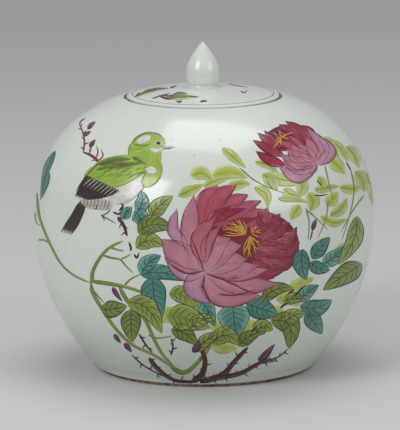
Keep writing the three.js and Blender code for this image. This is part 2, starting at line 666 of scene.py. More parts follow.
PINK = Paint.of(0xC98E98, 0xB97488, 0xA4506E, 4)
ROSE = Paint.of(0xC2737E, 0xB25A6C, 0x8F2C48, 5)
LILAC = Paint.of(0xC795A2, 0xB183A6, 0x9A5580, 4)
CRIMSON = Paint.of(0xA83A50, 0x8C2038, 0x741830, 4)
WINE = Paint.of(0x7E1830, 0x8A1E36, 0x6A1228)
BLUSH = Paint.of(0xB04A5C, 0xB8606E, 0x842040, 3)
STAMEN = Paint.of(0xC9952E, 0xE6C650, 0xB98828)
OLIVE = Paint.of(0x7F9236, 0x93A545, 0xA8B460, 4)
MOSS = Paint.of(0x6F842F, 0x87983B, 0x5E7028, 4)
TEAL = Paint.of(0x3F7F72, 0x579585, 0x2E6A60, 5)
SEA = Paint.of(0x5FA092, 0x3E7C72, 0x8CBFAF, 3)
LIME = Paint.of(0xA9BA42, 0xB5BC52, 0xC9D49C, 1.6)
SPRING = Paint.of(0x98B347, 0xBBB056, 0xC4D49E, 1.6)
STEM = Paint.of(0x768B30, 0x9AAE48, 0x647A28, 2)
BARK = Paint.of(0x4A1A1A, 0x5C2622, 0x381210)
CORAL = Paint.of(0x9C4030, 0x8A3A30, 0x7A2C26)
BUD = Paint.of(0x5A2A4A, 0x84507C, 0x4A2040)
INK = Paint.of(0x1F3320, 0x24382A, 0x1A2C1C)
TEAL_INK = Paint.of(0x12403C, 0x1A4A44, 0x10342F)
CLARET = Paint.of(0x7A1834, 0x8E2B48, 0x6E1430)
FEATHER = Paint.of(0x8FB43E, 0xA6C456, 0x9CBB52, 3)
DUSK = Paint.of(0x55602C, 0x6B7A34, 0x7F9A3C, 2)
UMBER = Paint.of(0x33261E, 0x2A1E18, 0x4C3A2C)
DOWN = Paint.of(0xD9D5CE, 0xDEDBD4, 0xC8CABF, 2)
ASH = Paint.of(0xB4ADA4, 0xC2BDB4, 0xC6CABF, 2)
BLACK = Paint.of(0x14100E, 0x14100E, 0x1E1814)
IRON = Paint.of(0x6B3A30, 0x7A4638, 0x5A2E28)


class Shape(Enum):
    """How wide a stroke is from where it starts, 0, to where it ends, 1."""

    PETAL = "petal"
    LEAF = "leaf"
    STEM = "stem"
    LINE = "line"
    OVAL = "oval"
    BLADE = "blade"

    def width(self, t: float) -> float:
        """Gives the share of the full width at a place along the stroke."""
        if self is Shape.PETAL:
            return (0.16 + 0.84 * math.sin(math.pi * t ** 0.85) ** 0.8) * (1 - t ** 9) if t < 1 else 0.0
        if self is Shape.LEAF:
            return math.sin(math.pi * min(1, t ** 0.78)) ** 0.82
        if self is Shape.STEM:
            return (1 - 0.45 * t) * min(1, 6 * t + 0.4, 8 * (1 - t) + 0.35)
        if self is Shape.LINE:
            return min(1, 5 * t + 0.3, 3.2 * (1 - t) + 0.12)
        if self is Shape.OVAL:
            return math.sqrt(max(0.0, 1 - (2 * t - 1) ** 2))
        return min(1, 4 * t + 0.5) * (1 - t ** 2.2)


def glide(points: list[Point], t: float) -> Vector:
    """Gives a place on a smooth line through points.

    Args:
        points: what the line passes through.
        t: the share of the way along it.

    Returns:
        The place.
    """
    knots = [Vector(point) for point in points]
    knots = [knots[0] * 2 - knots[1], *knots, knots[-1] * 2 - knots[-2]]
    spans = len(knots) - 3
    span = min(int(t * spans), spans - 1)
    f = t * spans - span
    a, b, c, d = knots[span:span + 4]
    bend = (2 * a - 5 * b + 4 * c - d) * f * f
    return 0.5 * (2 * b + (c - a) * f + bend + (3 * b - a - 3 * c + d) * f ** 3)


# How high a film of enamel stands: the first one, each one laid over it, and strokes laid in turn
FILM_REST = 0.035 * MM
FILM_LAYER = 0.030 * MM
FILM_ORDER = 0.005 * MM
FILM_SWELL = 0.022 * MM
FILM_SINK = 0.030 * MM


@dataclass
class Painting:
    """Strokes of enamel laid on one surface, each a thin closed film that follows the glaze.

    A stroke is drawn in pixels of the front view, turned by the panel's azimuth and moved by its shift.
    """

    name: str
    surface: BVHTree
    body: str = "jar"
    azimuth: float = 0.0
    shift: Point = (0.0, 0.0)
    size: float = 1.0
    pivot: Point = (200.0, 230.0)
    view: View = field(default_factory=View)
    points: list[Vector] = field(default_factory=list)
    faces: list[tuple[int, ...]] = field(default_factory=list)
    colours: list[Colour] = field(default_factory=list)
    marks: list[Point] = field(default_factory=list)
    count: int = 0

    def __post_init__(self) -> None:
        """Turns the view to the panel that is painted."""
        self.panel = Matrix.Rotation(self.azimuth, 3, "Z")
        self.eye = self.panel @ self.view.eye()

    def touch(self, x: float, y: float) -> tuple[Vector, Vector]:
        """Finds where a pixel lands on the surface, drawn inwards where it misses.

        Args:
            x: pixels from the left.
            y: pixels from the top.

        Returns:
            The place and the surface's normal there.
        """
        x = self.pivot[0] + (x - self.pivot[0]) * self.size + self.shift[0]
        y = self.pivot[1] + (y - self.pivot[1]) * self.size + self.shift[1]
        for _ in range(60):
            place, normal, _, _ = self.surface.ray_cast(self.eye, self.panel @ self.view.ray(x, y))
            if place is not None and normal.dot(self.eye - place) > 0.12:
                return place, normal
            x += 0.4 if x < self.view.width / 2 else -0.4
        raise ValueError(f"{self.name}: no surface at {x}, {y}")

    def stroke(self, spine: list[Point], width: float, shape: Shape, paint: Paint, layer: int,
               teeth: float = 0.0) -> None:
        """Lays one stroke.

        Args:
            spine: pixels that the brush passes through.
            width: pixels across at the widest.
            shape: how the width changes along the stroke.
            paint: the load of enamel.
            layer: how many films lie under this one.
            teeth: how far the end is torn into points, as a share of the length.
        """
        length = sum((Vector(b) - Vector(a)).length for a, b in zip(spine, spine[1:]))
        rows = max(6, min(40, round(length / 2.2)))
        columns = max(2, min(16, 2 * round(width / 4.4)))
        start = len(self.points)
        self.count += 1
        base = FILM_REST + FILM_LAYER * layer + FILM_ORDER * (self.count % 5)
        offset = (self.count * 0.618) % 1 * 7
        films: list[tuple[Vector, Vector]] = []
        for row in range(rows + 1):
            t = row / rows
            half = width / 2 * max(shape.width(t), 0.03)
            for column in range(columns + 1):
                s = 2 * column / columns - 1
                bite = teeth * t ** 3 * (abs(math.sin(s * 4.7)) - 0.5)
                reach = min(1, max(0, t + bite))
                middle = glide(spine, reach)
                ahead = glide(spine, min(1, reach + 0.02)) - glide(spine, max(0, reach - 0.02))
                side = Vector((-ahead.y, ahead.x)).normalized() * half * s
                place, normal = self.touch(middle.x + side.x, middle.y + side.y)
                pillow = FILM_SWELL * (1 - s * s)
                films.append((place + normal * (base + pillow), place - normal * FILM_SINK))
                rim = abs(s) ** paint.rim
                body = [a + (b - a) * t for a, b in zip(paint.root, paint.tip)]
                self.colours.append(tuple(c + (e - c) * rim for c, e in zip(body, paint.edge)))
                self.marks.append((length * t / 22 + offset, (s * width / 44) + offset))
        top = [film[0] for film in films]
        under = [film[1] for film in films]
        self.points += top + under
        self.colours += self.colours[-len(films):]
        self.marks += self.marks[-len(films):]
        total, across = len(films), columns + 1
        ahead = (top[across] - top[0]).cross(top[1] - top[0])
        outward = self.touch(*spine[len(spine) // 2])[1]
        flip = ahead.dot(outward) > 0
        quads = []
        for row in range(rows):
            for column in range(columns):
                a = row * across + column
                quads.append((a, a + 1, a + 1 + across, a + across))
                quads.append((a + total, a + across + total, a + 1 + across + total, a + 1 + total))
        border = [*range(across), *[r * across + columns for r in range(1, rows + 1)]]
        border += [rows * across + c for c in range(columns - 1, -1, -1)]
        border += [r * across for r in range(rows - 1, 0, -1)]
        for a, b in zip(border, border[1:] + border[:1]):
            quads.append((b, a, a + total, b + total))
        for quad in quads:
            order = tuple(start + index for index in quad)
            self.faces.append(order[::-1] if flip else order)

    def place(self, spine: list[Point], width: float, shape: Shape, t: float, s: float) -> Point:
        """Gives the pixel at a place along and across a stroke.

        Args:
            spine: the stroke's own pixels.
            width: pixels across at its widest.
            shape: how the width changes along it.
            t: the share of the way along.
            s: the share across, from -1 to 1.

        Returns:
            The pixel there.
        """
        ahead = glide(spine, min(1, t + 0.02)) - glide(spine, max(0, t - 0.02))
        side = Vector((-ahead.y, ahead.x)).normalized() * width / 2 * shape.width(t) * s
        point = glide(spine, t) + side
        return point.x, point.y

    def contour(self, spine: list[Point], width: float, shape: Shape, paint: Paint, layer: int,
                line: float = 0.7, sides: tuple[int, ...] = (-1, 1)) -> None:
        """Draws a fine line along a stroke's sides.

        Args:
            spine: the stroke's own pixels.
            width: pixels across at its widest.
            shape: how the width changes along it.
            paint: the line's enamel.
            layer: how many films lie under the line.
            line: the line's own width.
            sides: which sides get the line.
        """
        for side in sides:
            edge = [self.place(spine, width, shape, t, side) for t in (0.06, 0.28, 0.5, 0.72, 0.9, 0.99)]
            self.stroke(edge, line, Shape.LINE, paint, layer)

    def leaf(self, spine: list[Point], width: float, paint: Paint, ink: Paint, layer: int,
             veins: int = 3, outlined: bool = True) -> None:
        """Lays a leaf with its midrib, side veins and outline.

        Args:
            spine: pixels from the leaf's stalk to its tip.
            width: pixels across at its widest.
            paint: the leaf's enamel.
            ink: the veins' enamel.
            layer: how many films lie under the leaf.
            veins: how many pairs of side veins.
            outlined: whether a line runs round the leaf.
        """
        self.stroke(spine, width, Shape.LEAF, paint, layer)
        along = [self.place(spine, width, Shape.LEAF, t, 0) for t in (0.02, 0.35, 0.7, 0.97)]
        self.stroke(along, 0.9, Shape.LINE, ink, layer + 1)
        for vein in range(veins):
            t = 0.16 + 0.62 * vein / max(1, veins)
            for side in (-1, 1):
                path = [self.place(spine, width, Shape.LEAF, t, 0)]
                path.append(self.place(spine, width, Shape.LEAF, t + 0.09, 0.45 * side))
                path.append(self.place(spine, width, Shape.LEAF, min(0.96, t + 0.2), 0.86 * side))
                self.stroke(path, 0.7, Shape.LINE, ink, layer + 1)
        if outlined:
            self.contour(spine, width, Shape.LEAF, ink, layer + 1, 0.7)

    def fan(self, root: Point, tips: list[Point], width: float, shape: Shape, paint: Paint, layer: int,
            bow: float = 0.12) -> None:
        """Lays strokes from one root to several tips, each bowed a little.

        Args:
            root: the pixel where all start.
            tips: the pixels where they end.
            width: pixels across at the widest.
            shape: how the width changes along each.
            paint: their enamel.
            layer: how many films lie under them.
            bow: how far each is bowed, as a share of its length.
        """
        for index, tip in enumerate(tips):
            middle = (Vector(root) + Vector(tip)) / 2
            ahead = Vector(tip) - Vector(root)
            side = Vector((-ahead.y, ahead.x)) * bow * (1 if index % 2 else -0.4)
            self.stroke([root, tuple(middle + side), tip], width, shape, paint, layer)

    def thorny(self, spine: list[Point], width: float, paint: Paint, layer: int, thorns: int) -> None:
        """Lays a woody twig with short side thorns.

        Args:
            spine: pixels along the twig.
            width: pixels across at its thick end.
            paint: its enamel.
            layer: how many films lie under it.
            thorns: how many it has.
        """
        self.stroke(spine, width, Shape.STEM, paint, layer)
        for index in range(thorns):
            t = (index + 0.6) / (thorns + 0.4)
            root = glide(spine, t)
            ahead = (glide(spine, min(1, t + 0.05)) - glide(spine, max(0, t - 0.05))).normalized()
            side = Vector((-ahead.y, ahead.x)) * (1 if index % 2 else -1)
            reach = width * 0.5 + 2.6 + 1.3 * math.sin(index * 2.4)
            tip = root + side * reach + ahead * 2.4
            bend = root + side * reach * 0.55 + ahead * 0.5
            self.stroke([tuple(root), tuple(bend), tuple(tip)], 1.5, Shape.BLADE, paint, layer)

    def hang(self) -> bpy.types.Object:
        """Makes the film mesh with its pigment, and lets it ride with its body."""
        mesh = bpy.data.meshes.new(self.name)
        mesh.from_pydata([tuple(point) for point in self.points], [], self.faces)
        pigment = mesh.color_attributes.new(name="pigment", type="FLOAT_COLOR", domain="POINT")
        pigment.data.foreach_set("color", [value for colour in self.colours for value in (*colour, 1.0)])
        layer = mesh.uv_layers.new(name="stroke")
        for loop in mesh.loops:
            layer.data[loop.index].uv = self.marks[loop.vertex_index]
        mesh.polygons.foreach_set("use_smooth", [True] * len(mesh.polygons))
        mesh.materials.append(finish(Enamel.name))
        piece = bpy.data.objects.new(self.name, mesh)
        bpy.context.collection.objects.link(piece)
        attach(piece, self.body)
        log.info("%s: %d strokes, %d faces", self.name, self.count, len(mesh.polygons))
        return piece


def surface_of(piece: bpy.types.Object) -> BVHTree:
    """Gives a piece's surface in the form that a ray can be cast on."""
    mesh = piece.data
    points = [vertex.co for vertex in mesh.vertices]
    return BVHTree.FromPolygons(points, [face.vertices for face in mesh.polygons])


@dataclass
class Decoration:
    """The flowers, bird and foliage painted round the jar."""

    jar: BVHTree
    lid: BVHTree

    def large_peony(self) -> None:
        """Paints the open blossom in the middle."""
        art = Painting("painted_open_peony", self.jar)
        heart = (204, 271)
        back = [
            ([(201, 224), (205, 200), (218, 186)], 17), ([(205, 220), (218, 198), (236, 185)], 18),
            ([(211, 216), (230, 203), (248, 195)], 16), ([(214, 219), (238, 210), (261, 201)], 15),
            ([(213, 225), (240, 217), (267, 210)], 15), ([(228, 224), (252, 221), (274, 214)], 14),
        ]
        for spine, width in back:
            art.stroke(spine, width, Shape.PETAL, BLUSH, 2, 0.10)
            art.contour(spine, width, Shape.PETAL, CLARET, 3, 0.7, (1,))
        depth = [(214, 212), (250, 236), (286, 266)]
        art.stroke(depth, 54, Shape.OVAL, WINE, 1)
        far_depth = [(258, 214), (283, 240), (282, 272)]
        art.stroke(far_depth, 30, Shape.OVAL, WINE, 1)
        side = [
            ([(262, 234), (271, 225), (277.5, 214)], 10), ([(268, 241), (279, 232), (285.5, 220)], 10),
            ([(276, 247), (289, 239), (297, 226.5)], 10), ([(268, 259), (287, 252), (300, 242)], 12),
            ([(260, 264), (280, 262), (295, 259)], 13), ([(254, 270), (270, 272), (284, 271)], 11),
            ([(252, 262), (270, 266), (290, 266)], 11), ([(250, 274), (262, 276), (275, 278)], 8),
        ]
        for spine, width in side:
            art.stroke(spine, width, Shape.PETAL, CRIMSON, 3)
            art.contour(spine, width, Shape.PETAL, WINE, 4, 0.6)
        for ring in range(3, -1, -1):
            for step in range(8):
                angle = math.radians(-66 + 18 * step + 7 * (ring % 2))
                inner, outer = 14 + 7 * ring, 29 + 7 * ring
                root = (247 + inner * math.cos(angle), 241 + inner * 0.74 * math.sin(angle))
                tip = (247 + outer * math.cos(angle - 0.12), 241 + outer * 0.74 * math.sin(angle - 0.12))
                middle = ((root[0] + tip[0]) / 2, (root[1] + tip[1]) / 2 - 1.5)
                spine = [root, middle, tip]
                art.stroke(spine, 7.5, Shape.BLADE, BLUSH if (ring + step) % 3 == 0 else CRIMSON, 4)
                art.stroke(spine, 0.6, Shape.LINE, WINE, 5)
        top = [
            ([(206, 228), (216, 215), (232, 205)], 9), ([(216, 222), (228, 213), (246, 208)], 9),
            ([(222, 230), (238, 222), (257, 218)], 9), ([(205, 236), (211, 224), (222, 216)], 8),
        ]
        for spine, width in top:
            art.stroke(spine, width, Shape.PETAL, CRIMSON, 4)
            art.contour(spine, width, Shape.PETAL, WINE, 5, 0.6, (1,))
        outer = [
            ([(196, 262), (190, 228), (194, 194.5)], 19, PINK),
            ([(188, 246), (173, 230), (177, 208.5)], 12, LILAC),
            ([heart, (181, 256), (161, 239)], 27, PINK), ([(203, 273), (183, 274), (164, 257)], 13, LILAC),
            ([(204, 272), (193, 287), (210, 304)], 20, LILAC),
            ([(205, 273), (222, 294), (262, 296)], 26, PINK),
            ([(206, 272), (240, 285), (279.5, 283.5)], 20, PINK),
        ]
        for spine, width, paint in outer:
            art.stroke(spine, width, Shape.PETAL, paint, 4)
            art.contour(spine, width, Shape.PETAL, CLARET, 5, 0.7)
        inner = [
            ([heart, (240, 274), (268, 269.5)], 15), ([heart, (234, 270), (258, 265.5)], 17),
            ([heart, (229, 262), (246.5, 259)], 19), ([heart, (222, 251), (241, 245.5)], 22),
            ([heart, (212, 249), (230.5, 238)], 24),
        ]
        for spine, width in inner:
            art.stroke(spine, width, Shape.PETAL, PINK, 5)
            art.contour(spine, width, Shape.PETAL, CLARET, 6, 0.6, (1,))
        folded = [
            ([(202, 262), (199, 238), (216.5, 216)], 16), ([(205, 262), (208, 242), (220.5, 226)], 12),
        ]
        for spine, width in folded:
            art.stroke(spine, width, Shape.PETAL, ROSE, 6)
            art.contour(spine, width, Shape.PETAL, CLARET, 7, 0.8)
        creases = [
            [heart, (198, 254), (191, 236)], [heart, (186, 273), (166, 261)],
            [(204, 274), (204, 288), (211, 302)], [(207, 273), (234, 284), (247, 291), (262, 293)],
            [(218, 294), (236, 295), (258, 289)],
        ]
        for line in creases:
            art.stroke(line, 1.5, Shape.LINE, CLARET, 7)
        stamens = [
            ((246, 234), 1.1, [(223, 235), (222.5, 230), (224, 226), (227, 223), (231, 220.5), (235, 219.5),
                               (239, 219), (243, 221), (226, 232), (229, 227), (234, 224), (230, 231),
                               (238, 223)]),
            ((251, 232), 1.0, [(253, 226), (256, 225), (259, 226), (261, 229), (261.5, 233), (260, 237),
                               (256, 228)]),
            ((250, 236), 1.1, [(243.5, 254), (244, 257.5), (247.5, 258.5), (251.5, 257.5), (255.5, 254),
                               (258, 250), (260, 246), (260.5, 242), (246, 250), (250, 252), (254, 248)]),
        ]
        for root, width, tips in stamens:
            art.fan(root, tips, width, Shape.LINE, STAMEN, 7)
        art.hang()

    def small_peony(self, name: str, azimuth: float = 0.0, shift: Point = (0.0, 0.0),
                    size: float = 1.0) -> None:
        """Paints the half open blossom, on any panel.

        Args:
            name: the piece's name.
            azimuth: how far round the jar the panel is.
            shift: how far it is moved, in pixels.
            size: how large it is painted.
        """
        art = Painting(name, self.jar, "jar", azimuth, shift, size)
        depth = [(262, 146), (286, 138), (310, 142)]
        art.stroke(depth, 26, Shape.OVAL, WINE, 2)
        pointed = [
            ([(284, 156), (268, 149), (252.5, 140)], 9), ([(285, 165), (269, 160), (255.5, 151)], 10),
            ([(278, 150), (268, 142), (257.5, 132.5)], 8), ([(281, 148), (272, 139), (264, 130.5)], 7),
            ([(286, 146), (279, 137), (271.8, 130)], 6), ([(292, 143), (284, 134), (277, 129)], 6),
            ([(302, 140), (290, 130), (278.5, 124.5)], 7), ([(308, 142), (299, 130), (285, 121)], 9),
            ([(312, 146), (311, 133), (301, 125)], 8),
        ]
        for spine, width in pointed:
            art.stroke(spine, width, Shape.PETAL, CRIMSON, 3)
            art.contour(spine, width, Shape.PETAL, WINE, 4, 0.6)
        blushing = [
            [(300, 150), (288, 145), (276, 141)], [(304, 148), (297, 142), (289, 136)],
        ]
        for spine in blushing:
            art.stroke(spine, 7, Shape.PETAL, BLUSH, 4)
        heart = (316.5, 164.5)
        cup = [
            ([heart, (323, 148), (307, 128)], 12, LILAC), ([heart, (330, 152), (318, 136)], 13, LILAC),
            ([heart, (313, 150), (306, 138)], 12, PINK), ([heart, (306, 153), (299, 144)], 13, PINK),
            ([heart, (300, 155), (292.5, 145)], 13, PINK), ([heart, (298, 158), (287, 149.5)], 13, PINK),
            ([heart, (297, 163), (280, 154.5)], 13, PINK), ([heart, (298, 177), (278, 166)], 13, LILAC),
            ([heart, (299, 169), (281, 161)], 12, PINK), ([heart, (313, 170), (309, 175)], 6, LILAC),
        ]
        for spine, width, paint in cup:
            art.stroke(spine, width, Shape.PETAL, paint, 5)
            art.contour(spine, width, Shape.PETAL, CLARET, 6, 0.5)
        stamens = [
            (273, 148), (275.5, 141), (279, 132.5), (287, 133.5), (294, 132.5), (281.5, 146), (288, 140),
        ]
        art.fan((281.5, 137), stamens, 1.1, Shape.LINE, STAMEN, 6)
        art.hang()

    def bird(self) -> None:
        """Paints the perched green bird."""
        art = Painting("painted_bird", self.jar)
        rump = [(80, 202), (97, 204), (113, 206)]
        art.stroke(rump, 12, Shape.OVAL, ASH, 1)
        for step in range(9):
            x = 80 + 3.6 * step
            art.stroke([(x, 198.5), (x + 0.5, 203), (x - 2.5, 208 + step * 0.4)], 0.6, Shape.LINE, UMBER, 2)
        for step in range(6):
            root, tip = (80 + 1.0 * step, 202 + 0.8 * step), (61 + 2.0 * step, 232 + 0.6 * step)
            middle = ((root[0] + tip[0]) / 2 + 1, (root[1] + tip[1]) / 2)
            art.stroke([root, middle, tip], 3.2, Shape.LINE, UMBER, 3)
        belly = [(108, 200), (126, 193), (147, 177)]
        art.stroke(belly, 19, Shape.OVAL, DOWN, 2)
        breast = [(152, 155), (154, 172), (143, 187)]
        art.stroke(breast, 17, Shape.OVAL, FEATHER, 3)
        back = [(90, 177), (114, 172), (145, 163)]
        art.stroke(back, 31, Shape.OVAL, FEATHER, 4)
        throat = [(147, 140), (148, 156), (146, 174)]
        art.stroke(throat, 27, Shape.OVAL, FEATHER, 4)
        nape = [(131, 145), (136, 154), (139, 166)]
        art.stroke(nape, 15, Shape.OVAL, FEATHER, 4)
        back_edge = [(84, 182), (92, 172), (104, 163)]
        art.stroke(back_edge, 9, Shape.LEAF, FEATHER, 4)
        for step in range(12):
            t = step / 11
            root = (89 + 30 * t, 176 + 14.5 * t)
            tip = (75 + 12 * t, 196.5 + 3.5 * t)
            middle = ((root[0] + tip[0]) / 2 - 1, (root[1] + tip[1]) / 2 + 1.2)
            art.stroke([root, middle, tip], 4.4, Shape.BLADE, UMBER, 5)
        shade = [
            ([(99, 165), (115, 161), (132, 159)], 9), ([(112, 164), (128, 165), (143, 163)], 7),
            ([(96, 170), (112, 167), (128, 168)], 5), ([(132, 157), (141, 161), (146, 165)], 6),
        ]
        for spine, width in shade:
            art.stroke(spine, width, Shape.LEAF, DUSK, 5)
        for step in range(34):
            x, y = 97 + 1.45 * step, 163 + 12 * abs(math.sin(step * 1.7)) + 1.5 * math.sin(step * 0.9)
            art.stroke([(x + 4, y - 1), (x + 1, y + 0.6), (x - 3, y + 2.4)], 0.9, Shape.LINE, DUSK, 6)
        for step in range(9):
            root = (92 + 3.4 * step, 178.5 + 1.5 * step)
            quill = [root, (root[0] - 4, root[1] + 3.2), (root[0] - 9, root[1] + 7.5)]
            art.stroke(quill, 0.7, Shape.LINE, ASH, 6)
        head = [(131, 150), (147, 141), (165.5, 143.5)]
        art.stroke(head, 18, Shape.OVAL, FEATHER, 5)
        crown_patch = [(136.5, 142.5), (144, 139), (151, 136.5)]
        art.stroke(crown_patch, 8.5, Shape.OVAL, DOWN, 6)
        head_lines = [
            [(131, 145), (137, 138), (147, 133.5), (158, 134), (165, 140)],
            [(134, 144.5), (144, 146), (152, 143)], [(130, 144), (129, 150), (129, 156)],
        ]
        for line in head_lines:
            art.stroke(line, 1.3, Shape.LINE, DUSK, 7)
        cheek = [(149, 148.5), (157, 150.5), (164.5, 147.5)]
        art.stroke(cheek, 5.5, Shape.OVAL, DOWN, 6)
        wing_bend = [(146, 168), (151, 170.5), (157, 172)]
        art.stroke(wing_bend, 7.5, Shape.OVAL, DOWN, 6)
        beak = [(163, 147.2), (169, 147.4), (175.5, 147)]
        art.stroke(beak, 2.6, Shape.BLADE, ASH, 6)
        beak_line = [(163, 148.9), (168, 148.8), (172, 148)]
        art.stroke(beak_line, 0.6, Shape.LINE, UMBER, 7)
        eye_ring = [(155, 143.5), (158.3, 143.2), (161.8, 143.6)]
        art.stroke(eye_ring, 4.6, Shape.OVAL, DOWN, 7)
        pupil = [(156.3, 143.6), (158.5, 143.3), (160.8, 143.6)]
        art.stroke(pupil, 3.0, Shape.OVAL, BLACK, 8)
        wing_line = [(76, 191), (84, 179), (96, 166), (104, 160)]
        art.stroke(wing_line, 0.9, Shape.LINE, UMBER, 6)
        claws = [
            [(111, 209), (106, 214), (101, 215)], [(101, 215), (108, 219), (116, 223.5)],
            [(101, 215), (104, 218.5), (104, 221)], [(96, 205), (97, 208), (94, 209)],
        ]
        for line in claws:
            art.stroke(line, 1.1, Shape.LINE, UMBER, 4)
        art.hang()

    def vine(self) -> None:
        """Paints the green vine down the left and along the bottom."""
        art = Painting("painted_vine", self.jar)
        stems = [
            ([(37, 193), (38.5, 212), (42, 225), (52, 248), (62, 265), (75, 276), (92, 283.5)], 3.2),
            ([(92, 283), (93, 271), (101, 256.5), (110.5, 247), (123, 241)], 4.2),
            ([(90, 281), (114, 284.5), (130, 288), (146, 294)], 4.6),
            ([(91, 283), (93, 293), (101, 307), (116, 329), (133, 345), (154, 355), (176, 370)], 4.2),
            ([(119, 286), (127, 300), (144, 318), (154, 339), (163, 355), (176, 369)], 4.6),
            ([(170, 366), (180, 372), (188, 371), (198, 362), (207, 351), (214, 338)], 5.2),
            ([(110, 247), (117, 249.5), (124, 251)], 2.6),
            ([(102, 255), (112, 258), (120, 259.5), (126, 266), (133, 273)], 2.4),
            ([(121, 259), (126, 257), (131, 254)], 1.8), ([(124, 286), (131, 279), (141, 274)], 2.2),
            ([(38, 240), (44, 240), (50, 244)], 2.4), ([(35, 212), (36, 222), (40, 226)], 1.8),
            ([(93, 290), (98, 296), (104, 303)], 2.0), ([(148, 335), (158, 338), (172, 336)], 2.0),
        ]
        for spine, width in stems:
            art.stroke(spine, width, Shape.STEM, STEM, 1)
        upper_leaf = [(55.5, 150.5), (47, 168), (41, 188)]
        art.stroke(upper_leaf, 7.5, Shape.LEAF, TEAL, 2)
        lower_leaf = [(49, 171), (45, 184), (40.5, 200)]
        art.stroke(lower_leaf, 7.5, Shape.LEAF, TEAL, 3)
        midrib = [(55, 151), (47, 170), (41, 196)]
        art.stroke(midrib, 0.9, Shape.LINE, TEAL_INK, 4)
        art.hang()

    def teal_leaves(self) -> None:
        """Paints the blue green leaves."""
        art = Painting("painted_teal_leaves", self.jar)
        leaves = [
            ([(137, 213), (142.5, 202), (141, 190.5)], 14, SEA),
            ([(124, 220), (126, 213), (132, 207)], 11, SEA),
            ([(134, 211), (140, 217), (141, 227)], 17, SEA),
            ([(141, 275), (148, 263), (161, 255.5)], 16, SEA),
            ([(141, 275), (161, 272), (190, 280.5)], 15, TEAL),
            ([(153, 276), (154, 296), (162, 318)], 25, TEAL),
            ([(199, 298), (207, 309), (215, 326)], 16, SEA),
            ([(246, 303), (262, 309), (278, 314)], 22, TEAL),
            ([(232, 303), (234, 318), (236, 338)], 32, SEA),
            ([(299, 302), (306, 293), (319, 285)], 13, SEA),
            ([(300, 307), (317, 308), (332, 300)], 17, TEAL),
            ([(306, 312), (314, 322), (322, 334)], 17, TEAL),
            ([(303, 249), (301, 264), (306, 280)], 17, TEAL),
            ([(312, 259), (320, 248), (330, 237)], 14, TEAL),
            ([(322, 264), (333, 258), (345, 246)], 14, SEA),
            ([(310, 262), (318, 268), (330, 270)], 13, TEAL),
        ]
        for spine, width, paint in leaves:
            art.leaf(spine, width, paint, TEAL_INK, 2, 4 if width > 20 else 3)
        art.hang()

    def olive_leaves(self) -> None:
        """Paints the yellow green leaves with their dark veins."""
        art = Painting("painted_olive_leaves", self.jar)
        leaves = [
            ([(151, 218), (159, 206), (173, 196)], 16, OLIVE),
            ([(138, 233), (152, 224), (173, 228)], 19, MOSS),
            ([(136, 248), (149, 240), (164, 246)], 17, OLIVE),
            ([(101, 309), (113, 309), (127, 306)], 17, MOSS),
            ([(131, 309), (131, 324), (132.5, 342)], 20, MOSS),
            ([(127, 302), (148, 308), (162, 333)], 20, OLIVE),
            ([(169, 294), (183, 295), (196, 308)], 17, OLIVE),
            ([(167, 316), (186, 318), (210, 328)], 26, OLIVE),
            ([(171, 330), (185, 333), (197, 345)], 16, MOSS),
            ([(262, 302), (275, 289), (293, 288)], 14, MOSS),
            ([(254, 335), (263, 326), (273, 330)], 15, OLIVE),
            ([(271, 320), (290, 325), (289, 349)], 21, MOSS),
            ([(282, 326), (292, 316), (305, 313)], 15, OLIVE),
            ([(357, 216), (354, 240), (338, 265)], 16, OLIVE),
            ([(362, 264), (346, 274), (323, 290)], 20, MOSS),
            ([(212, 344), (226, 334), (240, 345)], 17, OLIVE),
            ([(238, 346), (248, 337), (262, 331)], 13, MOSS),
            ([(188, 330), (200, 320), (216, 318)], 13, OLIVE),
            ([(283, 302), (294, 298), (306, 300)], 11, OLIVE),
            ([(196, 352), (206, 340), (220, 333)], 12, OLIVE),
        ]
        under = [
            [(188, 312), (200, 300), (214, 308)], [(210, 322), (222, 330), (236, 342)],
            [(160, 322), (176, 312), (196, 320)], [(146, 300), (158, 306), (166, 320)],
            [(236, 334), (250, 326), (262, 334)], [(262, 316), (276, 312), (288, 318)],
            [(276, 300), (288, 298), (302, 306)], [(212, 340), (222, 347), (238, 348)],
            [(168, 306), (172, 316), (186, 326)], [(222, 312), (224, 326), (222, 340)],
            [(288, 290), (300, 284), (314, 278)], [(330, 262), (340, 252), (350, 240)],
        ]
        for spine in under:
            art.stroke(spine, 15, Shape.LEAF, LIME, 1)
        for spine, width, paint in leaves:
            art.leaf(spine, width, paint, INK, 3, 4 if width > 18 else 3)
        art.hang()

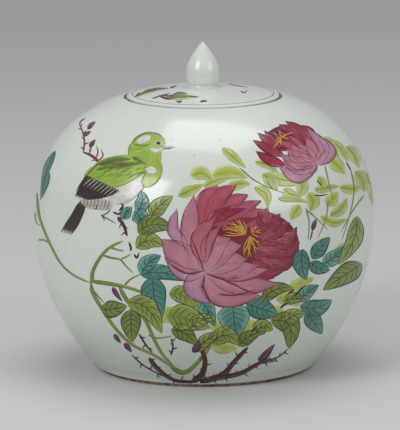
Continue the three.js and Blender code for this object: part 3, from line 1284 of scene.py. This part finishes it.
    def lime_washes(self, name: str, azimuth: float = 0.0, shift: Point = (0.0, 0.0),
                    size: float = 1.0) -> None:
        """Paints the pale young leaves and their thin stalks, on any panel.

        Args:
            name: the piece's name.
            azimuth: how far round the jar the panel is.
            shift: how far they are moved, in pixels.
            size: how large they are painted.
        """
        art = Painting(name, self.jar, "jar", azimuth, shift, size)
        lobes = [
            [(178, 196), (191, 190), (204, 184)], [(190, 176), (202, 173), (213, 181)],
            [(203, 187), (217, 180), (232, 177)], [(222, 148), (233, 157), (246, 168)],
            [(212, 176), (229, 172), (248, 178)], [(226, 190), (238, 184), (251, 184)],
            [(255, 162), (266, 164), (279, 173)], [(270, 177), (285, 180), (302, 184)],
            [(301, 179), (302, 188), (297, 198)], [(278, 199), (292, 198), (306, 202)],
            [(300, 205), (295, 212), (291, 220)], [(308, 192), (313, 202), (310, 211)],
            [(314, 190), (325, 188), (339, 186)], [(254, 187), (266, 194), (268, 208)],
            [(327, 206), (332, 199), (338, 192)], [(330, 216), (341, 209), (347, 198)],
            [(320, 216), (334, 223), (347, 219)], [(328, 157), (337, 165), (345, 174)],
            [(322, 137), (331, 147), (339, 158)], [(333, 140), (341, 150), (348, 162)],
            [(346, 146), (354, 155), (359, 168)], [(355, 171), (362, 180), (364, 192)],
            [(366, 172), (371, 188), (372, 206)], [(339, 187), (352, 189), (363, 185)],
            [(262, 174), (272, 180), (277, 190)], [(284, 188), (290, 194), (300, 195)],
            [(318, 176), (322, 184), (320, 194)],
        ]
        for index, spine in enumerate(lobes):
            width = 12 + 3 * math.sin(index * 1.9)
            art.stroke(spine, width, Shape.LEAF, LIME if index % 3 else SPRING, 1)
            along = [art.place(spine, width, Shape.LEAF, t, 0) for t in (0.05, 0.5, 0.9)]
            art.stroke(along, 0.8, Shape.LINE, STEM, 2)
        stalks = [
            [(240, 168), (254, 180), (270, 188), (284, 193)], [(265, 174), (270, 186), (274, 190)],
            [(325, 166), (328, 180), (333, 200)], [(351, 170), (354, 190), (350, 214), (342, 240)],
            [(306, 208), (309, 222), (308, 240)], [(307, 210), (318, 220), (328, 230)],
            [(328, 200), (326, 218), (318, 238)], [(364, 195), (352, 212), (341, 232)],
        ]
        for spine in stalks:
            art.stroke(spine, 1.5, Shape.STEM, STEM, 2)
        ink_marks = [
            [(346, 162), (349, 167), (351, 171)], [(317, 180), (320, 184), (321, 186)],
            [(314, 195), (321, 195.5), (328, 194)],
        ]
        for spine in ink_marks:
            art.stroke(spine, 1.3, Shape.LINE, INK, 3)
        art.hang()

    def twigs(self) -> None:
        """Paints the woody twigs and purple buds."""
        art = Painting("painted_twigs_and_buds", self.jar)
        coral_twigs = [
            ([(99, 162), (92, 156), (83, 152)], 3.6, CORAL, 2, 2),
            ([(83.5, 152), (84.5, 141), (82, 130), (79.5, 124.5)], 2.2, CORAL, 2, 6),
        ]
        for spine, width, paint, layer, thorns in coral_twigs:
            art.thorny(spine, width, paint, layer, thorns)
        tendrils = [
            [(79.5, 125), (81, 121), (86, 118)], [(90, 153), (91, 148), (92, 145)],
            [(96, 158), (98, 152), (96.5, 145)], [(98, 161), (103, 156), (101, 149)],
        ]
        for line in tendrils:
            art.stroke(line, 1.4, Shape.LINE, CORAL, 2)
        buds = [
            ([(87.5, 129.5), (91, 125), (95.5, 121.5)], 4.4), ([(83, 136), (87, 133.5), (91, 131)], 3.6),
            ([(89.5, 147.5), (92, 143.5), (95.5, 139.5)], 4.4),
            ([(112.5, 287), (116, 293), (122.5, 301.5)], 4.6), ([(114, 334), (117, 338), (121, 343)], 4.2),
            ([(124, 343), (128, 347), (132, 352)], 5.0), ([(259, 361), (266, 354), (274.5, 344)], 6.6),
            ([(312, 231), (314, 224), (316, 219)], 4.4), ([(192, 352), (197, 347), (199, 339)], 7.5),
        ]
        for spine, width in buds:
            art.stroke(spine, width, Shape.LEAF, BUD, 4)
            art.contour(spine, width, Shape.LEAF, BARK, 5, 0.6, (1,))
        bark_twigs = [
            ([(149, 358), (158, 369), (174, 380), (196, 382)], 5.0, BARK, 2, 8),
            ([(132, 355), (143, 365), (158, 373.5), (174, 380)], 1.8, BARK, 2, 5),
            ([(192, 382), (202, 374), (205, 360), (200, 346)], 7.0, BARK, 2, 6),
            ([(200, 382), (222, 375), (234, 362), (248, 347)], 6.6, BARK, 2, 8),
            ([(206, 380), (238, 374), (255, 365.5), (268, 358)], 5.4, BARK, 2, 8),
            ([(255, 364), (266, 362.5), (277, 360.5)], 1.8, BARK, 2, 3),
            ([(266, 361), (278, 357), (288, 349)], 1.8, BARK, 2, 4),
            ([(139, 334), (146, 345), (152, 352)], 2.2, BARK, 5, 3),
            ([(171, 355), (173, 346), (171, 338)], 2.0, BARK, 5, 4),
            ([(118, 217), (124, 226), (127, 236)], 4.2, BARK, 4, 4),
        ]
        for spine, width, paint, layer, thorns in bark_twigs:
            art.thorny(spine, width, paint, layer, thorns)
        offshoots = [
            [(119, 211), (123, 206), (121, 203)], [(113, 212), (118, 214), (122, 212)],
            [(129, 242), (131, 248), (130, 251)], [(134, 254), (137, 258), (139, 252)],
            [(280, 308), (284, 305), (289, 302)], [(294, 297), (300, 290), (306, 285)],
            [(288, 294), (292, 291), (294, 289)], [(252, 332), (255, 328), (257, 326)],
        ]
        for line in offshoots:
            art.stroke(line, 2.0, Shape.LINE, BARK, 5)
        berry = [(191.5, 327), (194, 325.5), (197, 327)]
        art.stroke(berry, 3.0, Shape.OVAL, CORAL, 6)
        bud_stalk = [(310, 240), (312, 233), (312, 230)]
        art.stroke(bud_stalk, 1.3, Shape.LINE, BARK, 3)
        art.hang()

    def lid_sprays(self) -> None:
        """Paints the two sprays, the small marks and the ring on the lid."""
        art = Painting("painted_lid_sprays", self.lid, "cover")
        leaves = [
            ([(168, 98), (181, 97), (197, 96.5)], 5.4, OLIVE),
            ([(135, 96.8), (145, 93), (158, 90.5)], 3.6, OLIVE),
            ([(147, 91), (158, 89), (169, 88.3)], 3.0, MOSS),
            ([(172, 95), (180, 93), (188, 94)], 2.6, MOSS),
            ([(176, 101), (180, 102), (182, 100)], 2.4, MOSS),
        ]
        for spine, width, paint in leaves:
            art.stroke(spine, width, Shape.LEAF, paint, 1)
            art.stroke(spine, 0.6, Shape.LINE, INK, 2)
        sprigs = [
            ([(152, 98.7), (160, 96), (171, 93)], 1.3), ([(159, 95.5), (165, 98), (172, 99.4)], 2.2),
            ([(163, 94.5), (168, 96), (174, 95)], 1.6), ([(170, 88), (173, 87), (177, 85.6)], 1.4),
            ([(190, 96.5), (194, 96.8), (199, 97)], 1.4), ([(200, 102), (204, 101), (207.5, 101.3)], 2.0),
            ([(135, 97), (138, 94), (140, 92.5)], 1.2), ([(143, 92), (150, 89.6), (157, 88.6)], 1.2),
            ([(240.4, 91), (244.5, 92.8), (247.4, 89.6)], 1.0),
            ([(228.5, 83.8), (237, 85.7), (248, 87.3)], 0.6),
        ]
        for line, width in sprigs:
            art.stroke(line, width, Shape.LINE, BARK, 3)
        art.hang()
        self.ring("painted_lid_ring", 59.8 * MM, 0.9 * MM)

    def ring(self, name: str, radius: float, width: float, steps: int = 180) -> None:
        """Paints one fine iron red ring on the lid, a hand's unevenness and all.

        Args:
            name: the piece's name.
            radius: how far from the axis.
            width: how wide the brush is.
            steps: how many joints the ring has.
        """
        deselect()
        bpy.ops.mesh.primitive_torus_add(major_segments=steps, minor_segments=8, major_radius=radius,
                                         minor_radius=width / 2, location=(0, 0, 0))
        piece = bpy.context.object
        piece.name = name
        for vertex in piece.data.vertices:
            across = math.hypot(vertex.co.x, vertex.co.y) - radius
            around = math.atan2(vertex.co.y, vertex.co.x)
            thick = 0.75 + 0.25 * math.sin(5 * around) * math.sin(13 * around + 1)
            r = radius + across * thick
            vertex.co.x, vertex.co.y = r * math.cos(around), r * math.sin(around)
            vertex.co.z = shoulder_height(r) + vertex.co.z * 0.16
        pigment = piece.data.color_attributes.new(name="pigment", type="FLOAT_COLOR", domain="POINT")
        pigment.data.foreach_set("color", [*IRON.root, 1.0] * len(piece.data.vertices))
        piece.data.uv_layers[0].name = "stroke"
        piece.data.materials.append(finish(Enamel.name))
        bpy.ops.object.shade_smooth()
        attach(piece, "cover")
        log.info("%s: %d faces", name, len(piece.data.polygons))

    def build(self) -> None:
        """Paints every motif, with a smaller spray on the back."""
        self.vine()
        self.lime_washes("painted_young_leaves")
        self.teal_leaves()
        self.twigs()
        self.olive_leaves()
        self.large_peony()
        self.small_peony("painted_half_open_peony")
        self.bird()
        self.lid_sprays()
        self.lime_washes("painted_young_leaves_behind", math.pi, (-90, 30), 0.9)
        self.small_peony("painted_half_open_peony_behind", math.pi, (-90, 30), 0.9)


def studio() -> None:
    """Sets a wide pale floor, with soft box lights on both sides and above."""
    deselect()
    bpy.ops.mesh.primitive_plane_add(size=16, location=(0, 0, 0))
    floor = bpy.context.object
    floor.name = "studio_floor"
    material = bpy.data.materials.new("pale_floor")
    material.use_nodes = True
    shader = material.node_tree.nodes["Principled BSDF"]
    shader.inputs["Base Color"].default_value = (0.62, 0.62, 0.61, 1)
    shader.inputs["Roughness"].default_value = 0.6
    floor.data.materials.append(material)
    world = bpy.data.worlds.new("studio_air")
    bpy.context.scene.world = world
    world.use_nodes = True
    world.node_tree.nodes["Background"].inputs["Color"].default_value = (0.78, 0.79, 0.80, 1)
    world.node_tree.nodes["Background"].inputs["Strength"].default_value = 0.42
    lamps = [
        ("key", (-1.5, -1.6, 1.5), 1.1, 26),
        ("fill", (1.9, -1.3, 1.2), 1.3, 15),
        ("top", (0.1, 0.3, 2.2), 1.4, 16),
    ]
    for name, place, size, power in lamps:
        light = bpy.data.lights.new(f"{name}_softbox", "AREA")
        light.size = size
        light.energy = power
        lamp = bpy.data.objects.new(f"{name}_softbox", light)
        bpy.context.collection.objects.link(lamp)
        lamp.location = place
        aim = Vector((0, 0, 0.13)) - Vector(place)
        lamp.rotation_euler = aim.to_track_quat("-Z", "Y").to_euler()
    bpy.context.scene.view_settings.view_transform = "Standard"


def main() -> None:
    """Builds the jar in order and reports each piece."""
    logging.basicConfig(level=logging.INFO, format="%(message)s")
    kiln_marks()
    brush_marks()
    for kind in (Glaze, Biscuit, Enamel):
        kind().build()
    View().camera()
    jar = Jar().build()
    cover = Cover().build()
    Decoration(surface_of(jar), surface_of(cover)).build()
    studio()


if __name__ == "__main__":
    main()
